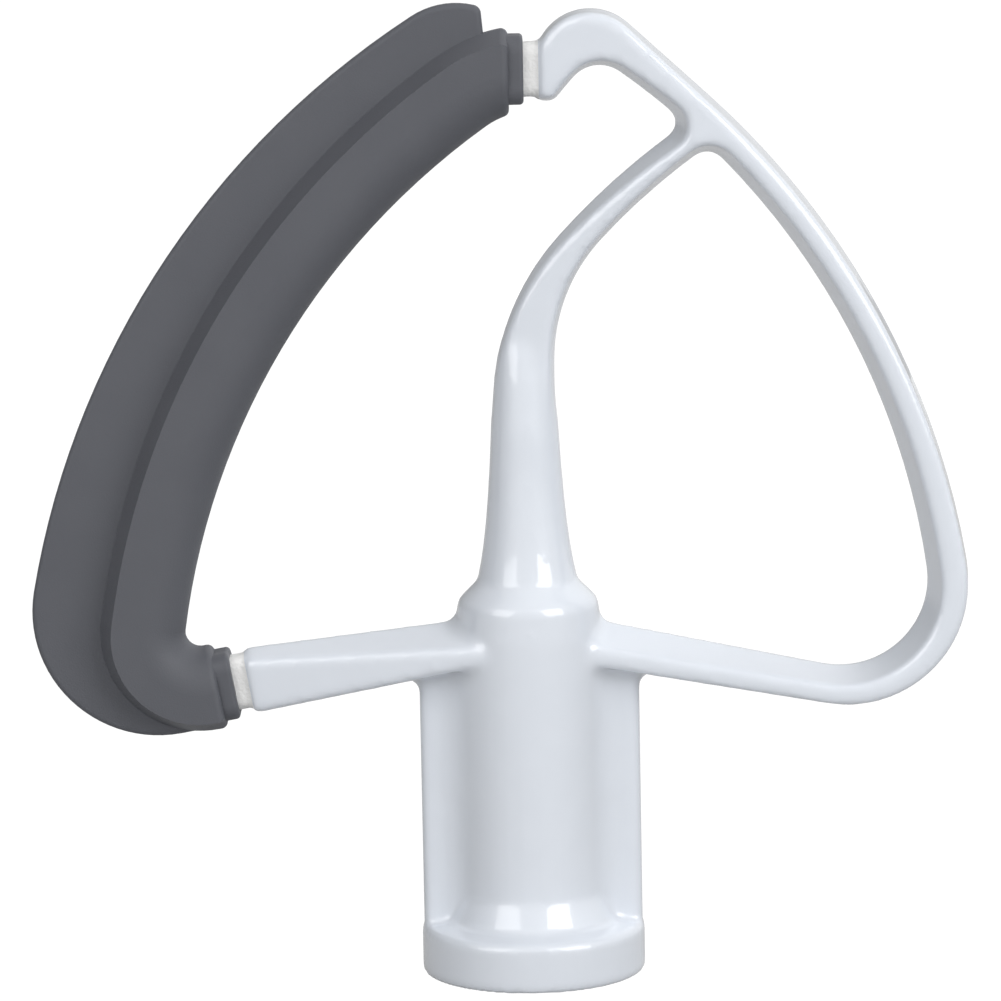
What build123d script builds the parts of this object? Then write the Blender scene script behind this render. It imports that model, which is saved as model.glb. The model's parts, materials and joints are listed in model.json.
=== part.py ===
"""Flat beater for a tilt-head stand mixer, with a moulded flexible scraper edge.

The beater stands on its collar. The origin is the centre of the collar's end
face, Z runs up the hub to the tip, and the parting plane of the casting is XZ.
All sizes are in millimetres and all angles in degrees.
"""

from build123d import *
from math import acos, atan2, cos, degrees, hypot, isclose, radians, sin, sqrt, tan
import os

# Drive hub
bore_diameter = 13.0
bore_depth = 40.0
bore_mouth_chamfer = 0.8
hub_radius = 10.3
flare_reach = 1.9
flare_height = 4.0
flare_top_round = 0.9
flare_foot_round = 0.9
shoulder_taper = 0.3
shoulder_height = 54.4
shoulder_band = 4.8
shoulder_round = 2.2
collar_radius = 16.0
collar_height = 6.8
collar_bevel_height = 0.8
collar_round = 0.8
neck_foot_radius = 7.1
neck_foot_rise = 2.9
neck_foot_round = 0.9
neck_mid_radius = 5.2
neck_mid_height = 72.0
neck_top_radius = 4.4
neck_top_height = 84.0
neck_tip_radius = 1.6
neck_tip_height = 94.5

# Bayonet slot for the cross pin of the mixer shaft, in the back of the hub
pin_diameter = 4.8
pin_clearance = 0.5
slot_reach = 12.0
slot_height = 21.0
slot_turn = 50.0
slot_seat_drop = 2.5

# Flat webs on both sides of the hub
web_reach = 15.7
web_thickness = 4.6
web_top_height = 48.0
web_edge_round = 1.0
web_root_round = 5.0
web_flat_width = 0.4

# Casting depth and drafts, measured from the parting plane
frame_half_depth = 7.8
outer_draft = 5.0
window_draft = 12.5
frame_edge_round = 0.7

# Outer loop
loop_centre = (-53.3, 40.1)
loop_radius = 118.0
loop_corner_radius = 17.6
loop_corner_height = 56.6
window_centre = (-48.9, 43.5)
window_radius = 107.5
window_corner_radius = 12.6
window_corner_height = 56.5
right_arm_bottom_slope = 10.0
right_arm_top_slope = 12.2
right_arm_ridge_slope = 8.4
right_arm_root_half_depth = 5.6
right_arm_blend_radius = 200.0

# Tip above the centre bar
tip_centre = (10.2, 131.3)
tip_radius = 7.9
tip_corner_round = 3.0
tip_end_x = 2.9
tip_underside_height = 126.4
tip_underside_length = 2.0
tip_throat_slope = 49.0
tip_throat_round = 5.0
tip_half_depth = 3.6
tip_blend_x = 26.0
tip_blend_radius = 60.0

# Centre bar, curving from the neck up to the outer bar
bar_left_centre = (33.0, 81.6)
bar_left_radius = 37.5
bar_left_angle = 137.0
bar_left_upper_radius = 105.0
bar_right_centre = (29.3, 89.2)
bar_right_radius = 24.9
bar_right_angle = 136.5
bar_right_upper_radius = 94.6
bar_foot_height = 66.0
bar_foot_half_depth = 1.2
bar_blend_half_depth = 5.3
left_crotch_round = 2.4
right_crotch_round = 3.0

# Left arm
arm_end_height = 9.2
arm_end_half_depth = 3.6
arm_root_x = -4.0
arm_root_height = 6.0
arm_root_top_height = 52.2
arm_root_half_depth = 8.8
arm_top_draft = 20.0
arm_edge_round = 0.9

# Line of the scraper bar: one long arc between two bends
edge_centre = (55.85, 35.35)
edge_radius = 112.5
edge_bend_radius = 8.2
edge_bend_height = 50.6
edge_top_radius = 17.0
edge_top_drop = 0.4
edge_foot_slope = 10.0
edge_foot_length = 5.6
core_width = 7.4
core_depth = 5.4
core_round = 1.2
core_embed = 2.0

# Flexible scraper edge moulded over the bar
sleeve_width = 12.2
sleeve_depth = 12.0
sleeve_wall_lean = 1.8
sleeve_corner_round = 1.2
sleeve_top_x = -1.4
sleeve_foot_length = 1.4
sleeve_end_round = 1.0
cuff_width = 9.8
cuff_depth = 9.4
cuff_length = 2.1
cuff_embed = 1.5
cuff_corner_round = 2.4
cuff_end_round = 0.6
fin_centre = (50.5, 33.6)
fin_radius = 123.8
fin_bend_radius = 18.0
fin_bend_height = 53.6
fin_top_radius = 11.6
fin_top_drop = 2.1
fin_thickness = 2.6
fin_end_x = -4.4
fin_end_lean = 0.8
fin_corner_round = 1.3
fin_lip_round = 0.8


def on_circle(centre, radius, angle):
    """Point of a circle at an angle."""
    return (centre[0] + radius * cos(radians(angle)), centre[1] + radius * sin(radians(angle)))


def angle_to(centre, point):
    """Angle from a centre to a point."""
    return degrees(atan2(point[1] - centre[1], point[0] - centre[0]))


def touching_centre(centre, radius, inner_radius, height, side):
    """Centre, at a given height, of a circle that touches a larger one from inside.

    The side is -1 for the left of the larger circle and 1 for its right.
    """
    reach = radius - inner_radius
    return (centre[0] + side * sqrt(reach**2 - (height - centre[1]) ** 2), height)


def crossing_angle(centre, radius, other_centre, other_radius):
    """Angle on the first circle of its upper crossing with a circle further left."""
    gap = hypot(other_centre[0] - centre[0], other_centre[1] - centre[1])
    swing = degrees(acos((gap**2 + radius**2 - other_radius**2) / (2 * gap * radius)))
    return angle_to(centre, other_centre) % 360 - swing


# Heights that follow the tip, which the scraper bar comes out of
edge_top_height = tip_centre[1] - edge_top_drop
fin_top_height = edge_top_height - fin_top_drop

# Centres and angles along the line of the scraper bar
edge_bend_centre = touching_centre(edge_centre, edge_radius, edge_bend_radius, edge_bend_height, -1)
edge_top_centre = touching_centre(
    edge_centre, edge_radius, edge_top_radius, edge_top_height - edge_top_radius, -1
)
edge_low_angle = angle_to(edge_centre, edge_bend_centre) % 360
edge_high_angle = angle_to(edge_centre, edge_top_centre)
foot_angle = 270 + edge_foot_slope
foot_start = on_circle(edge_bend_centre, edge_bend_radius, foot_angle)

# Centres and angles along the loop and its right window
loop_corner_centre = touching_centre(
    loop_centre, loop_radius, loop_corner_radius, loop_corner_height, 1
)
loop_corner_angle = angle_to(loop_centre, loop_corner_centre)
window_corner_centre = touching_centre(
    window_centre, window_radius, window_corner_radius, window_corner_height, 1
)
window_corner_angle = angle_to(window_centre, window_corner_centre)
tip_distance = hypot(tip_centre[0] - loop_centre[0], tip_centre[1] - loop_centre[1])
tip_tangent_angle = angle_to(loop_centre, tip_centre) - degrees(
    acos((loop_radius - tip_radius) / tip_distance)
)

# Centres and angles along the outer lip of the fin
fin_bend_centre = touching_centre(fin_centre, fin_radius, fin_bend_radius, fin_bend_height, -1)
fin_top_centre = touching_centre(fin_centre, fin_radius, fin_top_radius, fin_top_height, -1)
fin_low_angle = angle_to(fin_centre, fin_bend_centre) % 360
fin_high_angle = angle_to(fin_centre, fin_top_centre)


def along_foot(start, length):
    """Point at a length from a start, in the direction of the straight foot."""
    slope = radians(edge_foot_slope)
    return (start[0] + length * cos(slope), start[1] + length * sin(slope))


def foot_plane(length):
    """Plane across the straight foot of the scraper bar, at a length from its bend."""
    point = along_foot(foot_start, length)
    run = along_foot((0, 0), 1)
    return Plane(
        origin=(point[0], 0, point[1]), x_dir=(run[1], 0, -run[0]), z_dir=(run[0], 0, run[1])
    )


def top_plane(x):
    """Plane across the scraper bar above its top bend, facing the bend."""
    return Plane(origin=(x, 0, edge_top_height), x_dir=(0, 0, 1), z_dir=(-1, 0, 0))


def loop_outline():
    """Draw the outer outline of the casting, open towards the hub."""
    end_angle = degrees(acos((tip_end_x - tip_centre[0]) / tip_radius))
    bottom_angle = -90 - right_arm_bottom_slope
    bottom = on_circle(loop_corner_centre, loop_corner_radius, bottom_angle)
    root_height = bottom[1] + bottom[0] * tan(radians(right_arm_bottom_slope))
    notch_height = bar_left_centre[1] + bar_left_radius
    with BuildSketch(Plane.XZ) as sketch:
        with BuildLine():
            tip = CenterArc(tip_centre, tip_radius, end_angle, tip_tangent_angle - end_angle)
            long_arc = CenterArc(
                loop_centre, loop_radius, tip_tangent_angle, loop_corner_angle - tip_tangent_angle
            )
            Line(tip @ 1, long_arc @ 0)
            CenterArc(
                loop_corner_centre,
                loop_corner_radius,
                loop_corner_angle,
                bottom_angle - loop_corner_angle,
            )
            Polyline(
                bottom,
                (0, root_height),
                (0, bar_foot_height),
                (-neck_foot_radius, bar_foot_height),
                (-neck_foot_radius, notch_height),
                (tip_end_x, notch_height),
                tip @ 0,
            )
        make_face()
        fillet(sketch.vertices().sort_by_distance(tip @ 0)[0], tip_corner_round)
    return sketch.sketch


def right_window(depth, top_slope):
    """Draw the right window as it is at a depth in front of the parting plane."""
    growth = depth * tan(radians(window_draft))
    lower_radius = bar_right_radius + growth
    upper_radius = bar_right_upper_radius + growth
    upper_centre = on_circle(
        bar_right_centre, bar_right_upper_radius - bar_right_radius, bar_right_angle - 180
    )
    crotch_angle = crossing_angle(upper_centre, upper_radius, window_centre, window_radius + growth)
    crotch = on_circle(upper_centre, upper_radius, crotch_angle)
    start_angle = angle_to(window_centre, crotch)
    neck_x = bar_right_centre[0] - lower_radius
    with BuildSketch(Plane.XZ.offset(depth)) as sketch:
        with BuildLine():
            CenterArc(bar_right_centre, lower_radius, 180, bar_right_angle - 180)
            CenterArc(upper_centre, upper_radius, bar_right_angle, crotch_angle - bar_right_angle)
            CenterArc(
                window_centre, window_radius + growth, start_angle, window_corner_angle - start_angle
            )
            corner = CenterArc(
                window_corner_centre,
                window_corner_radius + growth,
                window_corner_angle,
                -90 - top_slope - window_corner_angle,
            )
            arm_far = corner @ 1
            arm_near = (neck_x, arm_far.Y + (arm_far.X - neck_x) * tan(radians(top_slope)))
            Polyline(arm_far, arm_near, (neck_x, bar_right_centre[1]))
        make_face()
        fillet(sketch.vertices().sort_by_distance((*crotch, 0))[0], right_crotch_round + growth)
    return sketch.sketch


def left_window():
    """Draw the left window, beside the centre bar and under the tip."""
    upper_centre = on_circle(
        bar_left_centre, bar_left_upper_radius - bar_left_radius, bar_left_angle - 180
    )
    crotch_angle = crossing_angle(upper_centre, bar_left_upper_radius, window_centre, window_radius)
    crotch = on_circle(upper_centre, bar_left_upper_radius, crotch_angle)
    start_angle = angle_to(window_centre, crotch)
    fall = bar_left_centre[1] - bar_foot_height
    foot_arc_angle = 180 + degrees(atan2(fall, sqrt(bar_left_radius**2 - fall**2)))
    nose = Vector(tip_end_x + tip_underside_length, tip_underside_height)
    run = Vector(cos(radians(tip_throat_slope)), sin(radians(tip_throat_slope)))
    away = nose - Vector(*window_centre)
    along = away.dot(run)
    throat = nose + run * (sqrt(along**2 - away.length**2 + window_radius**2) - along)
    throat_angle = angle_to(window_centre, (throat.X, throat.Y))
    with BuildSketch(Plane.XZ) as sketch:
        with BuildLine():
            lower = CenterArc(
                bar_left_centre, bar_left_radius, foot_arc_angle, bar_left_angle - foot_arc_angle
            )
            CenterArc(
                upper_centre, bar_left_upper_radius, bar_left_angle, crotch_angle - bar_left_angle
            )
            CenterArc(window_centre, window_radius, start_angle, throat_angle - start_angle)
            Polyline(
                throat,
                nose,
                (-2 * neck_foot_radius, tip_underside_height),
                (-2 * neck_foot_radius, bar_foot_height),
                lower @ 0,
            )
        make_face()
        fillet(sketch.vertices().sort_by_distance((*crotch, 0))[0], left_crotch_round)
        fillet(sketch.vertices().sort_by_distance(throat)[0], tip_throat_round)
    return sketch.sketch


def bar_line(start_x, foot_length):
    """Draw the line of the scraper bar from above its top bend to its foot."""
    with BuildLine(Plane.XZ) as line:
        Line((start_x, edge_top_height), (edge_top_centre[0], edge_top_height))
        CenterArc(edge_top_centre, edge_top_radius, 90, edge_high_angle - 90)
        CenterArc(edge_centre, edge_radius, edge_high_angle, edge_low_angle - edge_high_angle)
        CenterArc(edge_bend_centre, edge_bend_radius, edge_low_angle, foot_angle - edge_low_angle)
        Line(foot_start, along_foot(foot_start, foot_length))
    return line.wires()[0]


def fin_outline():
    """Draw the fin, from its outer lip to the line of the scraper bar."""
    corner_x = fin_end_x - fin_end_lean
    corner_angle = degrees(acos((corner_x - fin_top_centre[0]) / fin_top_radius))
    with BuildSketch(Plane.XZ) as sketch:
        with BuildLine():
            top = CenterArc(
                fin_top_centre, fin_top_radius, corner_angle, fin_high_angle - corner_angle
            )
            CenterArc(fin_centre, fin_radius, fin_high_angle, fin_low_angle - fin_high_angle)
            bend = CenterArc(
                fin_bend_centre, fin_bend_radius, fin_low_angle, foot_angle - fin_low_angle
            )
            Polyline(
                bend @ 1,
                along_foot(on_circle(fin_bend_centre, fin_bend_radius, foot_angle), edge_foot_length),
                foot_start,
            )
            CenterArc(
                edge_bend_centre, edge_bend_radius, foot_angle, edge_low_angle - foot_angle
            )
            CenterArc(edge_centre, edge_radius, edge_low_angle, edge_high_angle - edge_low_angle)
            CenterArc(
                edge_top_centre, edge_top_radius, edge_high_angle, 90 - edge_high_angle
            )
            Polyline(
                (edge_top_centre[0], edge_top_height),
                (fin_end_x, edge_top_height),
                top @ 0,
            )
        make_face()
        fillet(sketch.vertices().sort_by_distance(top @ 0)[0], fin_corner_round)
    return sketch.sketch


def arm_section(plane, height, half_depth):
    """Draw a section of the left arm, widest on the parting plane."""
    top_drop = half_depth * tan(radians(arm_top_draft))
    bottom_rise = half_depth * tan(radians(outer_draft))
    with BuildSketch(plane) as sketch:
        with BuildLine():
            Polyline(
                (-height / 2, 0),
                (top_drop - height / 2, -half_depth),
                (height / 2 - bottom_rise, -half_depth),
                (height / 2, 0),
                (height / 2 - bottom_rise, half_depth),
                (top_drop - height / 2, half_depth),
                close=True,
            )
        make_face()
    return sketch.sketch


# Depth of the front half of the casting, seen from above: the tip, the centre
# bar and the right arm start shallow and deepen towards the outer bar
far_x = loop_centre[0] + loop_radius + frame_half_depth
tip_depth_slope = (frame_half_depth - tip_half_depth) / (tip_blend_x - tip_end_x)
bar_reach = 2 * neck_foot_radius
with BuildPart() as depth_limit:
    with BuildSketch(Plane.XY.offset(bar_foot_height)) as upper_depth:
        with BuildLine():
            Polyline(
                (-bar_reach, 0),
                (-bar_reach, tip_depth_slope * (tip_end_x + bar_reach) - tip_half_depth),
                (tip_blend_x, -frame_half_depth),
                (far_x, -frame_half_depth),
                (far_x, 0),
                close=True,
            )
        make_face()
        blend = upper_depth.vertices().sort_by_distance((tip_blend_x, -frame_half_depth, 0))[0]
        fillet(blend, tip_blend_radius)
    extrude(amount=2 * loop_radius)
    with BuildSketch() as lower_depth:
        with BuildLine():
            Polyline(
                (0, 0),
                (0, -right_arm_root_half_depth),
                (window_corner_centre[0], -frame_half_depth),
                (far_x, -frame_half_depth),
                (far_x, 0),
                close=True,
            )
        make_face()
        blend = lower_depth.vertices().sort_by_distance(
            (window_corner_centre[0], -frame_half_depth, 0)
        )[0]
        fillet(blend, right_arm_blend_radius)
    extrude(amount=shoulder_height)
    with BuildSketch(Plane.XY.offset(shoulder_height)):
        with BuildLine():
            Polyline(
                (window_corner_centre[0], 0),
                (window_corner_centre[0], -frame_half_depth),
                (far_x, -frame_half_depth),
                (far_x, 0),
                close=True,
            )
        make_face()
    extrude(amount=bar_foot_height - shoulder_height)

arm_root_plane = Plane(
    origin=(arm_root_x, 0, arm_root_top_height - arm_root_height / 2),
    x_dir=(0, 0, -1),
    z_dir=(1, 0, 0),
)

bar_blend_top = bar_left_centre[1] + bar_left_radius / 2

# Front half of the loop, tip, centre bar and right arm, cast as one drafted plate
draw_depth = frame_half_depth + frame_edge_round
with BuildPart() as loop_half:
    extrude(loop_outline(), amount=draw_depth, taper=outer_draft)
    loft(
        [right_window(0, right_arm_top_slope), right_window(draw_depth, right_arm_ridge_slope)],
        ruled=True,
        mode=Mode.SUBTRACT,
    )
    extrude(left_window(), amount=draw_depth, taper=-window_draft, mode=Mode.SUBTRACT)
    add(depth_limit.part, mode=Mode.INTERSECT)
    # The centre bar rises out of the round neck
    with BuildSketch(Plane.YZ.offset(-2 * neck_foot_radius)):
        with BuildLine():
            Polyline(
                (-bar_foot_half_depth, bar_foot_height),
                (-bar_blend_half_depth, bar_blend_top),
                (-2 * frame_half_depth, bar_blend_top),
                (-2 * frame_half_depth, bar_foot_height),
                close=True,
            )
        make_face()
    extrude(amount=4 * neck_foot_radius, mode=Mode.SUBTRACT)
    front = [face for face in loop_half.faces() if face.normal_at().Y < -0.95]
    rims = [edge for face in front for edge in face.edges()]
    # Edges between two front faces are in the list twice, and the neck's own edges stay sharp
    single_rims = [edge for edge in rims if rims.count(edge) == 1]
    outer_rims = [
        edge
        for edge in single_rims
        if (edge @ 0.5).Z > bar_blend_top or (edge @ 0.5).X > hub_radius
    ]
    fillet(outer_rims, frame_edge_round)

# Hub, neck and collar, turned in one profile
flare_radius = hub_radius + flare_reach
flare_foot_height = collar_height + collar_bevel_height
flare_top_height = flare_foot_height + flare_height
shoulder_radius = hub_radius - shoulder_taper
shoulder_foot_height = shoulder_height - shoulder_band
neck_foot_height = shoulder_height + neck_foot_rise
with BuildPart() as hub:
    with BuildSketch(Plane.XZ) as profile:
        with BuildLine():
            shoulder = Polyline(
                (0, 0),
                (collar_radius, 0),
                (collar_radius, collar_height),
                (flare_radius, flare_foot_height),
                (hub_radius, flare_top_height),
                (hub_radius, shoulder_foot_height),
                (shoulder_radius, shoulder_height),
                (neck_foot_radius, neck_foot_height),
            )
            # The neck ends flat, inside the centre bar
            neck = Spline(
                shoulder @ 1,
                (neck_mid_radius, neck_mid_height),
                (neck_top_radius, neck_top_height),
                (neck_tip_radius, neck_tip_height),
                tangents=((-0.25, 1), (-1, 1)),
            )
            Polyline(neck @ 1, (0, neck_tip_height), (0, 0))
        make_face()
        for corner, radius in (
            ((collar_radius, 0), collar_round),
            ((collar_radius, collar_height), collar_round),
            ((flare_radius, flare_foot_height), flare_foot_round),
            ((hub_radius, flare_top_height), flare_top_round),
            ((shoulder_radius, shoulder_height), shoulder_round),
            ((neck_foot_radius, neck_foot_height), neck_foot_round),
        ):
            fillet(profile.vertices().sort_by_distance((*corner, 0))[0], radius)
    revolve(axis=Axis.Z)

# Flat webs, one plate through the axis of the hub, with wide blends into its wall
# that leave at least a narrow flat beside the web's rounded edge
flat_end = web_reach - web_edge_round - web_flat_width
widest_root = (flat_end**2 - hub_radius**2 + (web_thickness / 2) ** 2) / (
    2 * hub_radius - web_thickness
)
with BuildPart() as webs:
    with BuildSketch(Plane.XY.offset(collar_height / 2)) as web_section:
        RectangleRounded(2 * web_reach, web_thickness, web_edge_round)
        Circle(hub_radius)
        roots = [
            vertex
            for vertex in web_section.vertices()
            if abs(abs(vertex.Y) - web_thickness / 2) < web_edge_round / 2
            and abs(vertex.X) < hub_radius
        ]
        fillet(roots, min(web_root_round, widest_root))
    extrude(amount=web_top_height - collar_height / 2)

# Left arm, tapering from the hub to the foot of the scraper bar
with BuildPart() as left_arm:
    loft(
        [
            arm_section(foot_plane(edge_foot_length), arm_end_height, arm_end_half_depth),
            arm_section(arm_root_plane, arm_root_height, arm_root_half_depth),
        ],
        ruled=True,
    )
    sharp = [edge for edge in left_arm.edges() if (edge @ 0.5).X < arm_root_x - 1]
    sharp = [edge for edge in sharp if abs((edge @ 0.5).Y) > arm_end_half_depth / 4]
    fillet(sharp, arm_edge_round)

# Slim core of the casting inside the scraper edge
with BuildPart() as core:
    with BuildSketch(top_plane(tip_end_x + core_embed)):
        RectangleRounded(core_width, core_depth, core_round)
    sweep(path=bar_line(tip_end_x + core_embed, edge_foot_length + core_embed))

# Aluminium casting with its bore and bayonet slot
slot_width = pin_diameter + pin_clearance
with BuildPart() as beater_frame:
    add(loop_half.part)
    mirror(loop_half.part, about=Plane.XZ)
    add(hub.part)
    add(webs.part)
    add(left_arm.part)
    add(core.part)
    Cylinder(
        bore_diameter / 2,
        bore_depth,
        align=(Align.CENTER, Align.CENTER, Align.MIN),
        mode=Mode.SUBTRACT,
    )
    Cone(
        bore_diameter / 2 + bore_mouth_chamfer,
        bore_diameter / 2,
        bore_mouth_chamfer,
        align=(Align.CENTER, Align.CENTER, Align.MIN),
        mode=Mode.SUBTRACT,
    )
    # The leg of the slot lets the pin in, the turn and the seat hold it
    Box(
        slot_width,
        slot_reach,
        slot_height,
        align=(Align.CENTER, Align.MIN, Align.MIN),
        mode=Mode.SUBTRACT,
    )
    with BuildSketch(Plane.YZ):
        with Locations((0, slot_height - slot_width)):
            Rectangle(slot_reach, slot_width, align=(Align.MIN, Align.MIN))
    revolve(axis=Axis.Z, revolution_arc=slot_turn, mode=Mode.SUBTRACT)
    with Locations(Location((0, 0, slot_height - slot_width - slot_seat_drop), (0, 0, slot_turn))):
        Box(
            slot_width,
            slot_reach,
            slot_width + slot_seat_drop,
            align=(Align.CENTER, Align.MIN, Align.MIN),
            mode=Mode.SUBTRACT,
        )

# Thin fin of the scraper edge, with a rounded outer lip
with BuildPart() as fin:
    extrude(fin_outline(), amount=fin_thickness / 2, both=True)
    lip_radii = (fin_top_radius, fin_corner_round, fin_radius, fin_bend_radius)
    lip = [
        edge
        for edge in fin.edges().filter_by(GeomType.CIRCLE)
        if any(isclose(edge.radius, radius) for radius in lip_radii)
    ]
    fillet(lip, fin_lip_round)

# Moulded scraper edge: body, end cuffs and fin
body_edge = sleeve_width / 2
body_half_depth = sleeve_depth / 2
with BuildPart() as scraper_edge:
    with BuildSketch(top_plane(tip_end_x)) as body_section:
        with BuildLine():
            EllipticalCenterArc(
                (0, 0), body_edge, body_half_depth, start_angle=90, arc_size=180
            )
            Polyline(
                (0, -body_half_depth),
                (body_edge - sleeve_wall_lean, -body_half_depth),
                (body_edge, -fin_thickness / 2),
                (body_edge, fin_thickness / 2),
                (body_edge - sleeve_wall_lean, body_half_depth),
                (0, body_half_depth),
            )
        make_face()
        corners = [
            vertex
            for vertex in body_section.vertices()
            if abs(abs(vertex.Y) - body_half_depth) < sleeve_corner_round
            and vertex.Z > edge_top_height + body_edge - 2 * sleeve_wall_lean
        ]
        fillet(corners, sleeve_corner_round)
    sweep(path=bar_line(tip_end_x, sleeve_foot_length))
    split(bisect_by=Plane.YZ.offset(sleeve_top_x), keep=Keep.BOTTOM)
    for end_plane, side in ((top_plane(sleeve_top_x), -1), (foot_plane(sleeve_foot_length), 1)):
        end_face = scraper_edge.faces().sort_by_distance(end_plane.origin)[0]
        fillet(end_face.edges(), sleeve_end_round)
        with BuildSketch(end_plane.offset(-side * cuff_embed)):
            RectangleRounded(cuff_width, cuff_depth, cuff_corner_round)
        extrude(amount=side * (cuff_length + cuff_embed))
        cuff_end = end_plane.offset(side * cuff_length).origin
        end_face = scraper_edge.faces().sort_by_distance(cuff_end)[0]
        fillet(end_face.edges(), cuff_end_round)
    add(fin.part)
    add(core.part, mode=Mode.SUBTRACT)

beater_frame.part.label = "beater_frame"
scraper_edge.part.label = "scraper_edge"
os.makedirs("parts", exist_ok=True)
export_step(beater_frame.part, "parts/beater_frame.step")
export_step(scraper_edge.part, "parts/scraper_edge.step")
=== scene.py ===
"""Dressed scene of a flat beater: a coated casting with a moulded scraper edge.

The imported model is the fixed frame. Lengths in the classes are in millimetres and
are turned into metres where a mesh or a lamp is made.
"""

from __future__ import annotations

import json
import logging
import math
from dataclasses import dataclass, field
from enum import Enum

import bpy
from mathutils import Euler, Matrix, Vector

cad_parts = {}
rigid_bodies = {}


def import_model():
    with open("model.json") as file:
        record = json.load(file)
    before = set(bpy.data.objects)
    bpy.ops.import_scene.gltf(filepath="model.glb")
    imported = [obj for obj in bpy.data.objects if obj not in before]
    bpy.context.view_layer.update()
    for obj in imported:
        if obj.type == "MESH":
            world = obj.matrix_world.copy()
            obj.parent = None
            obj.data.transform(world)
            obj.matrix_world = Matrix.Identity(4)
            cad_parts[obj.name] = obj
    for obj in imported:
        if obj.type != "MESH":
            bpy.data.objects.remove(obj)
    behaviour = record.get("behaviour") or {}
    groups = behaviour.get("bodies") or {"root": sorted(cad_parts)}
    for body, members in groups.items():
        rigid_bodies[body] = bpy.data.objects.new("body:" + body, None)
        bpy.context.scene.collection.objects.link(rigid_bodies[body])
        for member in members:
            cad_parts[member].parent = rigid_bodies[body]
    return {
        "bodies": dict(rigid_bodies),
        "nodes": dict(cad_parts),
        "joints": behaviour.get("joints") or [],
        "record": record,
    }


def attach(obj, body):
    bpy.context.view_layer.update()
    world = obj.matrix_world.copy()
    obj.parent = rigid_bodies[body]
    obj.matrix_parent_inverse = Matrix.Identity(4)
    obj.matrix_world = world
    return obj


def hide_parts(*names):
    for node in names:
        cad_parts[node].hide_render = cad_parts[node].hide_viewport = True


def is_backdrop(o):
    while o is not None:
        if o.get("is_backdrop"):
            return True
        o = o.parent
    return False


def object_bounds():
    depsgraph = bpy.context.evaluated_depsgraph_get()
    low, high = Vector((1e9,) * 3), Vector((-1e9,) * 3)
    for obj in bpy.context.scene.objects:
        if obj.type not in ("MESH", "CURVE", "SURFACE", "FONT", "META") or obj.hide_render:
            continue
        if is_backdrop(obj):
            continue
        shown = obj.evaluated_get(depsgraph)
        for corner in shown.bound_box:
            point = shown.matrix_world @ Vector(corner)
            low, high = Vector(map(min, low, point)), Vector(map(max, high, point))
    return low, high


log = logging.getLogger("flat_beater")

MM = 0.001

Colour = tuple[float, float, float, float]
Point = tuple[float, float, float]


class Side(Enum):
    """Side of the beater that a lamp stands on, as seen from the front."""

    LEFT = -1
    RIGHT = 1


class Socket(Enum):
    """Kinds of socket that the shader groups take and give."""

    NUMBER = "NodeSocketFloat"
    VECTOR = "NodeSocketVector"


# ---------------------------------------------------------------- shader work


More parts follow.
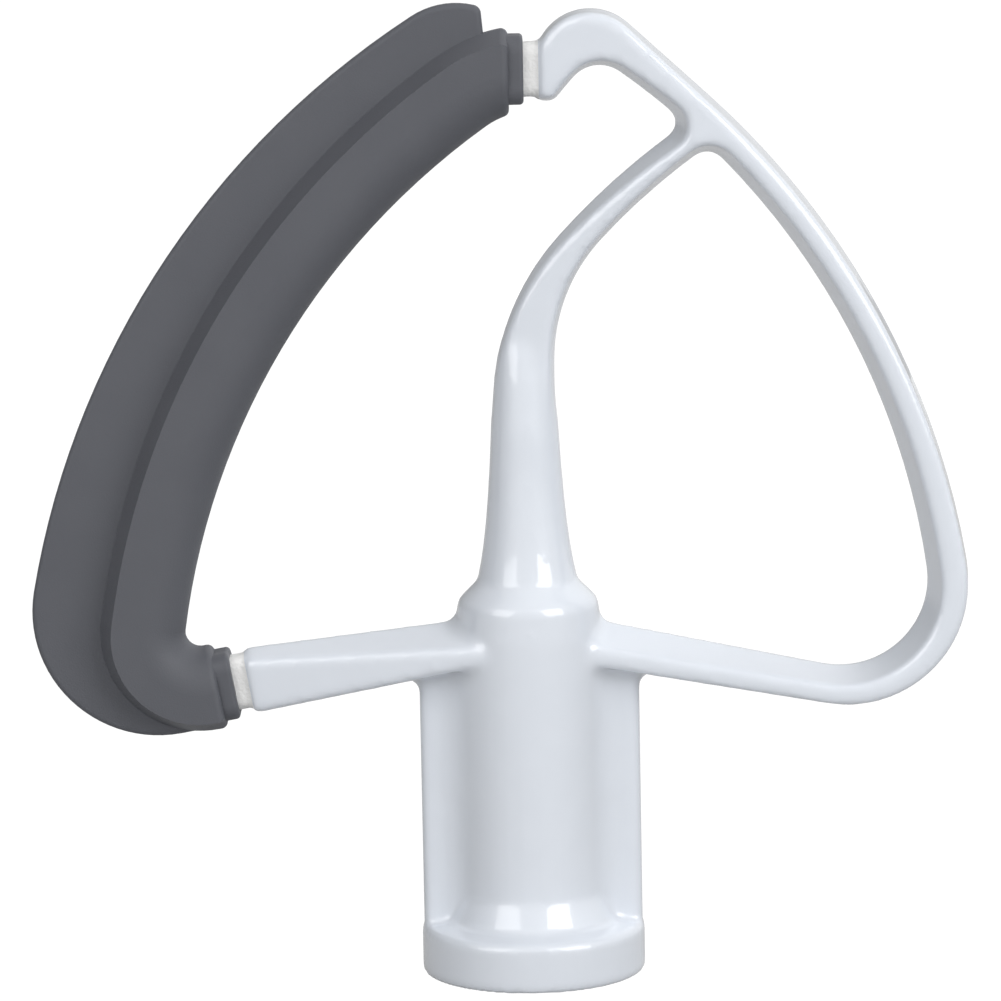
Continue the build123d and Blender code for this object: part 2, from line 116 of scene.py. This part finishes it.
@dataclass
class ShaderSketch:
    """Adds and links the nodes of one material or one node group."""

    tree: bpy.types.NodeTree

    def add(self, kind: str, **settings: object) -> bpy.types.Node:
        """Add a node and set its properties.

        Args:
            kind: the node's Blender type name.
            settings: properties of the node and their values.

        Returns:
            The new node.
        """
        node = self.tree.nodes.new(kind)
        for name, value in settings.items():
            setattr(node, name, value)
        return node

    def link(self, source: bpy.types.NodeSocket, target: bpy.types.NodeSocket) -> None:
        """Join an output to an input."""
        self.tree.links.new(source, target)

    def feed(
        self, value: bpy.types.NodeSocket | float | Colour, target: bpy.types.NodeSocket
    ) -> None:
        """Give an input an output to follow, or a fixed number or colour."""
        if isinstance(value, bpy.types.NodeSocket):
            self.link(value, target)
        else:
            target.default_value = value

    def math(
        self,
        operation: str,
        first: bpy.types.NodeSocket | float,
        second: bpy.types.NodeSocket | float = 0.0,
    ) -> bpy.types.NodeSocket:
        """Add a Math node.

        Args:
            operation: what the node does, as Blender names it.
            first: an output or a number.
            second: an output or a number.

        Returns:
            The result's socket.
        """
        node = self.add("ShaderNodeMath", operation=operation)
        for socket, value in zip(node.inputs, (first, second)):
            self.feed(value, socket)
        return node.outputs[0]

    def fade(
        self,
        value: bpy.types.NodeSocket,
        start: float,
        end: float,
        low: float = 0.0,
        high: float = 1.0,
    ) -> bpy.types.NodeSocket:
        """Map a value smoothly from one range to another.

        Args:
            value: the output to map.
            start: value that gives low.
            end: value that gives high.
            low: result at the start.
            high: result at the end.

        Returns:
            The mapped output.
        """
        node = self.add("ShaderNodeMapRange", interpolation_type="SMOOTHSTEP")
        self.link(value, node.inputs["Value"])
        node.inputs["From Min"].default_value = start
        node.inputs["From Max"].default_value = end
        node.inputs["To Min"].default_value = low
        node.inputs["To Max"].default_value = high
        return node.outputs["Result"]

    def blend(
        self,
        share: bpy.types.NodeSocket,
        first: bpy.types.NodeSocket | Colour,
        second: bpy.types.NodeSocket | Colour,
    ) -> bpy.types.NodeSocket:
        """Mix two colours.

        Args:
            share: how much of the second colour there is, between 0 and 1.
            first: an output or a colour.
            second: an output or a colour.

        Returns:
            The mixed colour's socket.
        """
        node = self.add("ShaderNodeMix", data_type="RGBA")
        self.link(share, node.inputs["Factor"])
        sockets = [socket for socket in node.inputs if socket.type == "RGBA"]
        for socket, colour in zip(sockets, (first, second)):
            self.feed(colour, socket)
        return next(socket for socket in node.outputs if socket.type == "RGBA")

    def use(
        self, group: bpy.types.NodeTree, place: bpy.types.NodeSocket, values: dict[str, float]
    ) -> bpy.types.Node:
        """Add a node that uses a shader group.

        Args:
            group: the group.
            place: the coordinates for its input Vector.
            values: its other inputs by name, and what they are set to.

        Returns:
            The group's node.
        """
        node = self.add("ShaderNodeGroup", node_tree=group)
        self.link(place, node.inputs["Vector"])
        for label, value in values.items():
            node.inputs[label].default_value = value
        return node

    def bump(
        self, height: bpy.types.NodeSocket, shader: bpy.types.Node, unit: float = 1.0
    ) -> None:
        """Bend a shader's normals as if its surface had a height.

        Args:
            height: the output with the height.
            shader: the shader.
            unit: the height's unit, in metres.
        """
        node = self.add("ShaderNodeBump")
        node.inputs["Distance"].default_value = unit
        self.link(height, node.inputs["Height"])
        self.link(node.outputs["Normal"], shader.inputs["Normal"])


def new_material(name: str) -> tuple[bpy.types.Material, ShaderSketch, bpy.types.Node]:
    """Make a material.

    Args:
        name: the material's name.

    Returns:
        The material, the sketch of its nodes and its shader.
    """
    material = bpy.data.materials.new(name)
    material.use_nodes = True
    shader = material.node_tree.nodes["Principled BSDF"]
    return material, ShaderSketch(material.node_tree), shader


def new_group(
    name: str, given: dict[str, Socket], results: tuple[str, ...]
) -> tuple[ShaderSketch, bpy.types.Node, bpy.types.Node]:
    """Make a shader group.

    Args:
        name: the group's name.
        given: its inputs by name, and their kinds.
        results: the names of its outputs, all of them numbers.

    Returns:
        The sketch of its nodes, its input node and its output node.
    """
    group = bpy.data.node_groups.new(name, "ShaderNodeTree")
    for label, kind in given.items():
        group.interface.new_socket(label, in_out="INPUT", socket_type=kind.value)
    for label in results:
        group.interface.new_socket(label, in_out="OUTPUT", socket_type=Socket.NUMBER.value)
    sketch = ShaderSketch(group)
    return sketch, sketch.add("NodeGroupInput"), sketch.add("NodeGroupOutput")


@dataclass
class SurfaceGrain:
    """Shader group for the unevenness of a coated or moulded surface."""

    name: str = "surface_grain"
    grain_detail: float = 3.0
    wave_detail: float = 1.0

    def build(self) -> bpy.types.NodeTree:
        """Build the group.

        Returns:
            A node group with the inputs Vector, Grain Size and Wave Size in metres, and
            Wave Share. Its outputs lie between 0 and 1: Grain, Wave and, mixed from the
            two by the share, Height.
        """
        given = {
            "Vector": Socket.VECTOR,
            "Grain Size": Socket.NUMBER,
            "Wave Size": Socket.NUMBER,
            "Wave Share": Socket.NUMBER,
        }
        sketch, start, end = new_group(self.name, given, ("Grain", "Wave", "Height"))
        source, result = start.outputs, end.inputs
        place = source["Vector"]
        grain = self._noise(sketch, place, source["Grain Size"], self.grain_detail)
        wave = self._noise(sketch, place, source["Wave Size"], self.wave_detail)
        share = source["Wave Share"]
        lifted = sketch.math("MULTIPLY", wave, share)
        fine = sketch.math("MULTIPLY", grain, sketch.math("SUBTRACT", 1.0, share))
        sketch.link(grain, result["Grain"])
        sketch.link(wave, result["Wave"])
        sketch.link(sketch.math("ADD", lifted, fine), result["Height"])
        return sketch.tree

    @staticmethod
    def _noise(
        sketch: ShaderSketch,
        vector: bpy.types.NodeSocket,
        size: bpy.types.NodeSocket,
        detail: float,
    ) -> bpy.types.NodeSocket:
        """Add a noise whose features have a size in metres and return its value."""
        noise = sketch.add("ShaderNodeTexNoise")
        noise.inputs["Detail"].default_value = detail
        sketch.link(vector, noise.inputs["Vector"])
        sketch.link(sketch.math("DIVIDE", 1.0, size), noise.inputs["Scale"])
        return noise.outputs["Fac"]


@dataclass
class PartingSeam:
    """Shader group for the faint seam that the two halves of a mould leave."""

    name: str = "parting_seam"

    def build(self) -> bpy.types.NodeTree:
        """Build the group.

        Returns:
            A node group with the inputs Vector and Width in metres, and the output
            Seam, which is 1 on the parting plane and 0 beside it.
        """
        given = {"Vector": Socket.VECTOR, "Width": Socket.NUMBER}
        sketch, start, end = new_group(self.name, given, ("Seam",))
        source, result = start.outputs, end.inputs
        split = sketch.add("ShaderNodeSeparateXYZ")
        sketch.link(source["Vector"], split.inputs["Vector"])
        away = sketch.math("ABSOLUTE", split.outputs["Y"])
        ratio = sketch.math("DIVIDE", away, source["Width"])
        sketch.link(sketch.fade(ratio, 0.0, 1.0, 1.0, 0.0), result["Seam"])
        return sketch.tree


@dataclass(frozen=True)
class CoatingFinish:
    """Glossy white coating of the casting, bare and pitted on the two necks.

    The necks are found by two planes: one across the tip, and one across the left
    arm, whose foot rises by foot_slope degrees.
    """

    name: str = "white_coating"
    colour: Colour = (0.775, 0.816, 0.88, 1.0)
    thin_colour: Colour = (0.765, 0.806, 0.87, 1.0)
    neck_colour: Colour = (0.9, 0.9, 0.89, 1.0)
    colour_range: tuple[float, float] = (0.35, 0.65)
    roughness: tuple[float, float] = (0.3, 0.36)
    roughness_range: tuple[float, float] = (0.3, 0.7)
    neck_roughness: float = 0.75
    coat_weight: float = 1.0
    coat_roughness: float = 0.03
    coat_index: float = 1.6
    grain_size: float = 0.5
    wave_size: float = 6.0
    neck_height: float = 0.14
    seam_width: float = 0.16
    seam_height: float = 0.05
    tip_end_x: float = 2.85
    tip_low_z: float = 120.0
    foot_slope: float = 10.0
    foot_end: float = -32.2
    foot_limit_x: float = -30.0

    def build(self, grain: bpy.types.NodeTree, seam: bpy.types.NodeTree) -> bpy.types.Material:
        """Build the material.

        Args:
            grain: the surface grain group.
            seam: the parting seam group.

        Returns:
            The coating's material.
        """
        material, sketch, shader = new_material(self.name)
        place = sketch.add("ShaderNodeTexCoord").outputs["Object"]
        bare = self._neck_mask(sketch, place)
        sizes = {"Grain Size": self.grain_size * MM, "Wave Size": self.wave_size * MM}
        uneven = sketch.use(grain, place, sizes).outputs
        line = sketch.use(seam, place, {"Width": self.seam_width * MM}).outputs

        thin = sketch.fade(uneven["Wave"], *self.colour_range)
        coated = sketch.blend(thin, self.colour, self.thin_colour)
        colour = sketch.blend(bare, coated, self.neck_colour)
        sketch.link(colour, shader.inputs["Base Color"])
        gloss = sketch.fade(uneven["Wave"], *self.roughness_range, *self.roughness)
        rough = sketch.math("MULTIPLY", bare, self.neck_roughness)
        sketch.link(sketch.math("MAXIMUM", gloss, rough), shader.inputs["Roughness"])
        shader.inputs["Coat Roughness"].default_value = self.coat_roughness
        shader.inputs["Coat IOR"].default_value = self.coat_index
        coat = sketch.math("MULTIPLY", sketch.math("SUBTRACT", 1.0, bare), self.coat_weight)
        sketch.link(coat, shader.inputs["Coat Weight"])

        rough_neck = sketch.math("MULTIPLY", uneven["Grain"], bare)
        pitted = sketch.math("MULTIPLY", rough_neck, self.neck_height * MM)
        ridge = sketch.math("MULTIPLY", line["Seam"], self.seam_height * MM)
        sketch.bump(sketch.math("ADD", pitted, ridge), shader)
        return material

    def _neck_mask(
        self, sketch: ShaderSketch, place: bpy.types.NodeSocket
    ) -> bpy.types.NodeSocket:
        """Mask the core beyond the tip's end and beyond the left arm's end.

        Args:
            sketch: the material's sketch.
            place: the object coordinates.

        Returns:
            An output that is 1 on the bare core and 0 elsewhere.
        """
        split = sketch.add("ShaderNodeSeparateXYZ")
        sketch.link(place, split.inputs["Vector"])
        slope = math.radians(self.foot_slope)
        along = sketch.add("ShaderNodeVectorMath", operation="DOT_PRODUCT")
        sketch.link(place, along.inputs[0])
        along.inputs[1].default_value = (math.cos(slope), 0.0, math.sin(slope))
        upper = sketch.math(
            "MULTIPLY",
            sketch.math("LESS_THAN", split.outputs["X"], self.tip_end_x * MM),
            sketch.math("GREATER_THAN", split.outputs["Z"], self.tip_low_z * MM),
        )
        lower = sketch.math(
            "MULTIPLY",
            sketch.math("LESS_THAN", split.outputs["X"], self.foot_limit_x * MM),
            sketch.math("LESS_THAN", along.outputs["Value"], self.foot_end * MM),
        )
        return sketch.math("MAXIMUM", upper, lower)


@dataclass(frozen=True)
class SiliconeFinish:
    """Satin grey silicone of the scraper edge."""

    name: str = "grey_silicone"
    colour: Colour = (0.108, 0.112, 0.127, 1.0)
    worn_colour: Colour = (0.113, 0.117, 0.132, 1.0)
    colour_range: tuple[float, float] = (0.35, 0.7)
    roughness: tuple[float, float] = (0.46, 0.6)
    roughness_range: tuple[float, float] = (0.3, 0.7)
    specular_level: float = 0.3
    grain_size: float = 0.25
    wave_size: float = 9.0
    wave_share: float = 0.2
    grain_height: float = 0.03
    seam_width: float = 0.12
    seam_height: float = 0.06

    def build(self, grain: bpy.types.NodeTree, seam: bpy.types.NodeTree) -> bpy.types.Material:
        """Build the material.

        Args:
            grain: the surface grain group.
            seam: the parting seam group.

        Returns:
            The silicone's material.
        """
        material, sketch, shader = new_material(self.name)
        place = sketch.add("ShaderNodeTexCoord").outputs["Object"]
        sizes = {
            "Grain Size": self.grain_size * MM,
            "Wave Size": self.wave_size * MM,
            "Wave Share": self.wave_share,
        }
        uneven = sketch.use(grain, place, sizes).outputs
        line = sketch.use(seam, place, {"Width": self.seam_width * MM}).outputs

        worn = sketch.fade(uneven["Wave"], *self.colour_range)
        colour = sketch.blend(worn, self.colour, self.worn_colour)
        sketch.link(colour, shader.inputs["Base Color"])
        gloss = sketch.fade(uneven["Wave"], *self.roughness_range, *self.roughness)
        sketch.link(gloss, shader.inputs["Roughness"])
        shader.inputs["Specular IOR Level"].default_value = self.specular_level

        grainy = sketch.math("MULTIPLY", uneven["Height"], self.grain_height * MM)
        ridge = sketch.math("MULTIPLY", line["Seam"], self.seam_height * MM)
        sketch.bump(sketch.math("ADD", grainy, ridge), shader)
        return material


# ------------------------------------------------------------------- the part


def pick(piece: bpy.types.Object) -> None:
    """Make a piece the active one and the only one selected."""
    bpy.ops.object.select_all(action="DESELECT")
    piece.select_set(True)
    bpy.context.view_layer.objects.active = piece


def put_on(material: bpy.types.Material, piece: bpy.types.Object) -> None:
    """Give a piece a material in place of those it has."""
    piece.data.materials.clear()
    piece.data.materials.append(material)


@dataclass(frozen=True)
class BlendZone:
    """Box in which the casting's inner corners are filled to a radius."""

    low: Point
    high: Point
    radius: float


@dataclass(frozen=True)
class SoftBand:
    """Length of the neck over which its round sides turn into the flat bar."""

    start: float = 64.0
    full_start: float = 74.0
    full_end: float = 84.0
    end: float = 95.0
    sides: tuple[float, float] = (-12.0, 20.0)
    factor: float = 0.5
    passes: int = 18

    def weight(self, place: Vector) -> float:
        """Say how much a point is softened.

        Args:
            place: the point, in metres.

        Returns:
            A share between 0 and 1.
        """
        across = place.x / MM
        height = place.z / MM
        if not (self.sides[0] < across < self.sides[1] and self.start < height < self.end):
            return 0.0
        rise = (height - self.start) / (self.full_start - self.start)
        fall = (self.end - height) / (self.end - self.full_end)
        return min(1.0, rise, fall)

    def soften(self, piece: bpy.types.Object) -> None:
        """Smooth the active piece within the band."""
        group = piece.vertex_groups.new(name="soft_band")
        for vertex in piece.data.vertices:
            share = self.weight(vertex.co)
            if share > 0.0:
                group.add([vertex.index], share, "REPLACE")
        smooth = piece.modifiers.new("soft_band", "SMOOTH")
        smooth.factor = self.factor
        smooth.iterations = self.passes
        smooth.vertex_group = group.name
        bpy.ops.object.modifier_apply(modifier=smooth.name)
        piece.vertex_groups.clear()


@dataclass
class CastBlends:
    """Geometry nodes that fill the inner corners of a casting, zone by zone.

    A mesh is grown by the radius and shrunk again, which rounds its inner corners
    and leaves its outer ones. Only what lies in the zone's box is kept of that.
    """

    voxel: float
    coat: float
    zones: tuple[BlendZone, ...]
    name: str = "cast_blends"
    spare_voxels: int = 3

    def build(self) -> bpy.types.NodeTree:
        """Build the node group.

        Returns:
            A geometry node group with one mesh in and one mesh out.
        """
        tree = bpy.data.node_groups.new(self.name, "GeometryNodeTree")
        for direction in ("INPUT", "OUTPUT"):
            tree.interface.new_socket(
                "Geometry", in_out=direction, socket_type="NodeSocketGeometry"
            )
        source = tree.nodes.new("NodeGroupInput").outputs[0]
        result = tree.nodes.new("NodeGroupOutput").inputs[0]
        joined = self._field(tree, source, 0.0)
        for zone in self.zones:
            grown = self._surface(tree, self._field(tree, source, zone.radius), zone.radius)
            shrunk = self._surface(tree, self._field(tree, grown, zone.radius), -zone.radius)
            filled = self._field(tree, shrunk, 0.0)
            box = self._field(tree, self._box(tree, zone), 0.0)
            kept = self._combine(tree, "INTERSECT", filled, box)
            joined = self._combine(tree, "UNION", joined, kept)
        tree.links.new(self._surface(tree, joined, self.coat), result)
        return tree

    def _field(
        self, tree: bpy.types.NodeTree, mesh: bpy.types.NodeSocket, reach: float
    ) -> bpy.types.NodeSocket:
        """Turn a mesh into a distance field that is valid for a reach beyond its surface."""
        node = tree.nodes.new("GeometryNodeMeshToSDFGrid")
        node.inputs["Voxel Size"].default_value = self.voxel * MM
        reached = math.ceil(reach / self.voxel)
        node.inputs["Band Width"].default_value = reached + self.spare_voxels
        tree.links.new(mesh, node.inputs["Mesh"])
        return node.outputs[0]

    @staticmethod
    def _surface(
        tree: bpy.types.NodeTree, grid: bpy.types.NodeSocket, offset: float
    ) -> bpy.types.NodeSocket:
        """Turn a distance field into a mesh, at an offset from its surface."""
        node = tree.nodes.new("GeometryNodeGridToMesh")
        node.inputs["Threshold"].default_value = offset * MM
        tree.links.new(grid, node.inputs["Grid"])
        return node.outputs[0]

    @staticmethod
    def _combine(
        tree: bpy.types.NodeTree,
        operation: str,
        first: bpy.types.NodeSocket,
        second: bpy.types.NodeSocket,
    ) -> bpy.types.NodeSocket:
        """Join two distance fields or keep what they share."""
        node = tree.nodes.new("GeometryNodeSDFGridBoolean")
        node.operation = operation
        tree.links.new(first, node.inputs["Grid 2"])
        tree.links.new(second, node.inputs["Grid 2"])
        return node.outputs[0]

    @staticmethod
    def _box(tree: bpy.types.NodeTree, zone: BlendZone) -> bpy.types.NodeSocket:
        """Make the mesh of a zone's box."""
        low = Vector(zone.low) * MM
        high = Vector(zone.high) * MM
        cube = tree.nodes.new("GeometryNodeMeshCube")
        cube.inputs["Size"].default_value = high - low
        moved = tree.nodes.new("GeometryNodeTransform")
        moved.inputs["Translation"].default_value = (low + high) / 2
        tree.links.new(cube.outputs["Mesh"], moved.inputs["Geometry"])
        return moved.outputs[0]


@dataclass
class BeaterCasting:
    """The casting with the soft inner corners and edges that its mould gives it."""

    node: str = "beater_frame"
    slot: str = "coated_casting"
    body: str = "root"
    voxel: float = 0.56
    coat: float = 0.15
    merge_distance: float = 0.001
    edge_factor: float = 0.5
    edge_passes: int = 2
    polish_factors: tuple[float, float] = (0.5, -0.53)
    polish_passes: int = 10
    zones: tuple[BlendZone, ...] = (
        BlendZone((-30.0, -14.0, 26.0), (30.0, 14.0, 56.0), 1.3),
        BlendZone((-10.0, -10.0, 63.0), (18.0, 10.0, 106.0), 6.0),
    )
    neck_band: SoftBand = SoftBand()

    def build(self, frame: dict, material: bpy.types.Material) -> bpy.types.Object:
        """Model the casting from a merged copy of its solid.

        Args:
            material: the finish.

        Returns:
            The casting's object, which replaces its node.
        """
        mesh = frame["nodes"][self.node].data.copy()
        casting = bpy.data.objects.new("cast_body", mesh)
        bpy.context.scene.collection.objects.link(casting)
        pick(casting)
        bpy.ops.object.mode_set(mode="EDIT")
        bpy.ops.mesh.select_all(action="SELECT")
        bpy.ops.mesh.remove_doubles(threshold=self.merge_distance * MM)
        bpy.ops.object.mode_set(mode="OBJECT")

        blends = casting.modifiers.new("blends", "NODES")
        blends.node_group = CastBlends(self.voxel, self.coat, self.zones).build()
        bpy.ops.object.modifier_apply(modifier=blends.name)
        self._smooth(casting, self.edge_factor, self.edge_passes)
        self.neck_band.soften(casting)
        for _ in range(self.polish_passes):
            for factor in self.polish_factors:
                self._smooth(casting, factor, 1)
        self._cut_foot(casting)
        bpy.ops.object.shade_smooth()
        casting.select_set(False)
        put_on(material, casting)
        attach(casting, self.body)
        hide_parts(self.node)
        return casting

    @staticmethod
    def _cut_foot(piece: bpy.types.Object) -> None:
        """Flatten what the coat adds below the collar's end face."""
        for vertex in piece.data.vertices:
            vertex.co.z = max(vertex.co.z, 0.0)

    @staticmethod
    def _smooth(piece: bpy.types.Object, factor: float, passes: int) -> None:
        """Smooth the active piece; a negative factor gives back the volume."""
        smooth = piece.modifiers.new("smooth", "SMOOTH")
        smooth.factor = factor
        smooth.iterations = passes
        bpy.ops.object.modifier_apply(modifier=smooth.name)


@dataclass
class DressedNode:
    """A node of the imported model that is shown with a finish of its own."""

    node: str
    crease: float = 32.0

    def dress(self, frame: dict, material: bpy.types.Material) -> bpy.types.Object:
        """Put the material on the node and smooth its shading.

        Args:
            material: the finish.

        Returns:
            The node's object.
        """
        shown = frame["nodes"][self.node]
        put_on(material, shown)
        pick(shown)
        bpy.ops.object.shade_smooth_by_angle(angle=math.radians(self.crease))
        shown.select_set(False)
        return shown


# ----------------------------------------------------------------- the studio


@dataclass(frozen=True)
class PhotoCamera:
    """Camera at the photograph's viewing angle."""

    position: Point = (-3.655, -770.0, 192.0)
    pitch: float = -9.080
    roll: float = -1.091
    lens: float = 195.17
    sensor: float = 36.0
    clip: tuple[float, float] = (50.0, 20000.0)

    def build(self) -> bpy.types.Object:
        """Build the camera and make it the scene's.

        Returns:
            The camera's object.
        """
        data = bpy.data.cameras.new("photo_camera")
        data.lens = self.lens
        data.sensor_width = self.sensor
        data.sensor_fit = "HORIZONTAL"
        data.clip_start, data.clip_end = (length * MM for length in self.clip)
        camera = bpy.data.objects.new("photo_camera", data)
        tilt = Euler((math.radians(90.0 + self.pitch), 0.0, 0.0)).to_matrix()
        turn = Matrix.Rotation(math.radians(self.roll), 3, "Z")
        camera.matrix_world = Matrix.Translation(Vector(self.position) * MM) @ (
            tilt @ turn
        ).to_4x4()
        bpy.context.scene.collection.objects.link(camera)
        bpy.context.scene.camera = camera
        return camera


@dataclass(frozen=True)
class SoftBox:
    """Soft lamp that looks at the beater; its mirror image can be left out."""

    name: str
    side: Side
    azimuth: float
    elevation: float
    distance: float
    width: float
    height: float
    power: float
    mirrored: bool = True
    target: Point = (0.0, 0.0, 60.0)

    def build(self) -> bpy.types.Object:
        """Build the lamp.

        Returns:
            The lamp's object.
        """
        data = bpy.data.lights.new(self.name, "AREA")
        data.shape = "RECTANGLE"
        data.size = self.width * MM
        data.size_y = self.height * MM
        data.energy = self.power
        lamp = bpy.data.objects.new(self.name, data)
        around = math.radians(self.azimuth) * self.side.value
        lift = math.radians(self.elevation)
        away = Vector(
            (
                math.sin(around) * math.cos(lift),
                -math.cos(around) * math.cos(lift),
                math.sin(lift),
            )
        )
        lamp.location = (Vector(self.target) + away * self.distance) * MM
        lamp.rotation_euler = away.to_track_quat("Z", "Y").to_euler()
        lamp.visible_glossy = self.mirrored
        bpy.context.scene.collection.objects.link(lamp)
        return lamp


@dataclass
class Studio:
    """Pale floor, pale surroundings and soft lamps.

    The surroundings turn from a bright to a dark side. Their strengths on the two
    sides are ambient for the light they give and reflected for their mirror image.
    """

    floor_size: float = 6000.0
    floor_colour: Colour = (0.35, 0.35, 0.35, 1.0)
    floor_roughness: float = 0.9
    room_colour: Colour = (1.0, 1.0, 1.0, 1.0)
    dark_side: Point = (-0.87, 0.5, 0.0)
    dark_turn: tuple[float, float] = (0.1, 0.75)
    ambient: tuple[float, float] = (0.39, 0.03)
    reflected: tuple[float, float] = (0.8, 0.33)
    floor_glow: float = 1.12
    floor_glow_share: float = 0.92
    floor_mirror_share: float = 0.28
    lamps: list[SoftBox] = field(
        default_factory=lambda: [
            SoftBox("key_box", Side.RIGHT, 42.5, 26.0, 900.0, 540.0, 600.0, 3.5),
            SoftBox("fill_box", Side.LEFT, 42.5, 26.0, 900.0, 540.0, 600.0, 1.85),
            SoftBox("top_box", Side.RIGHT, 10.0, 65.0, 1000.0, 700.0, 700.0, 1.6, False),
            SoftBox("front_box", Side.LEFT, 18.0, 5.0, 1400.0, 900.0, 900.0, 3.2, False),
            SoftBox("rim_box", Side.RIGHT, 120.0, 40.0, 1000.0, 600.0, 600.0, 2.2, False),
            SoftBox("back_box", Side.RIGHT, 165.0, 15.0, 1000.0, 700.0, 700.0, 3.6, False),
        ]
    )

    def build(self) -> None:
        """Build the floor, the world and the lamps."""
        self._floor()
        self._world()
        for lamp in self.lamps:
            lamp.build()

    def _floor(self) -> None:
        """Build the floor, which glows for the camera and less so in reflections."""
        bpy.ops.mesh.primitive_plane_add(size=self.floor_size * MM)
        floor = bpy.context.active_object
        floor.name = "floor"
        material, sketch, shader = new_material("pale_floor")
        shader.inputs["Base Color"].default_value = self.floor_colour
        shader.inputs["Roughness"].default_value = self.floor_roughness
        output = material.node_tree.nodes["Material Output"]
        rays = sketch.add("ShaderNodeLightPath").outputs
        seen = sketch.math(
            "MAXIMUM",
            sketch.math("MULTIPLY", rays["Is Camera Ray"], self.floor_glow_share),
            sketch.math("MULTIPLY", rays["Is Glossy Ray"], self.floor_mirror_share),
        )
        glow = sketch.add("ShaderNodeEmission")
        glow.inputs["Strength"].default_value = self.floor_glow
        mix = sketch.add("ShaderNodeMixShader")
        sketch.link(seen, mix.inputs["Fac"])
        sketch.link(shader.outputs[0], mix.inputs[1])
        sketch.link(glow.outputs[0], mix.inputs[2])
        sketch.link(mix.outputs[0], output.inputs["Surface"])
        floor.data.materials.append(material)
        floor.select_set(False)
        floor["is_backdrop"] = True

    def _world(self) -> None:
        """Build the surroundings, at full strength for the camera."""
        world = bpy.data.worlds.new("pale_room")
        world.use_nodes = True
        sketch = ShaderSketch(world.node_tree)
        background = world.node_tree.nodes["Background"]
        rays = sketch.add("ShaderNodeLightPath").outputs
        facing = sketch.add("ShaderNodeVectorMath", operation="DOT_PRODUCT")
        sketch.link(sketch.add("ShaderNodeTexCoord").outputs["Generated"], facing.inputs[0])
        facing.inputs[1].default_value = self.dark_side
        pale = sketch.fade(facing.outputs["Value"], *self.dark_turn, *self.ambient)
        mirrored = sketch.fade(facing.outputs["Value"], *self.dark_turn, *self.reflected)
        strength = sketch.math(
            "MAXIMUM",
            sketch.math("MAXIMUM", pale, rays["Is Camera Ray"]),
            sketch.math("MULTIPLY", mirrored, rays["Is Glossy Ray"]),
        )
        background.inputs["Color"].default_value = self.room_colour
        sketch.link(strength, background.inputs["Strength"])
        bpy.context.scene.world = world


def note_size(sizes: dict[str, list[list[float]]], name: str) -> None:
    """Keep the whole object's box under a name, as plain lists of metres."""
    sizes[name] = [[float(value) for value in corner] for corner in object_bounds()]


def main() -> None:
    """Load the frame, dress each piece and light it."""
    logging.basicConfig(level=logging.INFO, format="%(message)s")
    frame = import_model()
    bpy.ops.object.select_all(action="DESELECT")
    sizes: dict[str, list[list[float]]] = {}
    note_size(sizes, "cad")
    bpy.context.scene.view_settings.view_transform = "Standard"
    PhotoCamera().build()
    Studio().build()

    grain = SurfaceGrain().build()
    seam = PartingSeam().build()
    casting = BeaterCasting().build(frame, CoatingFinish().build(grain, seam))
    log.info("casting: %d faces", len(casting.data.polygons))
    edge = DressedNode("scraper_edge").dress(frame, SiliconeFinish().build(grain, seam))
    log.info("scraper edge: %d faces", len(edge.data.polygons))

    note_size(sizes, "visual")


if __name__ == "__main__":
    main()
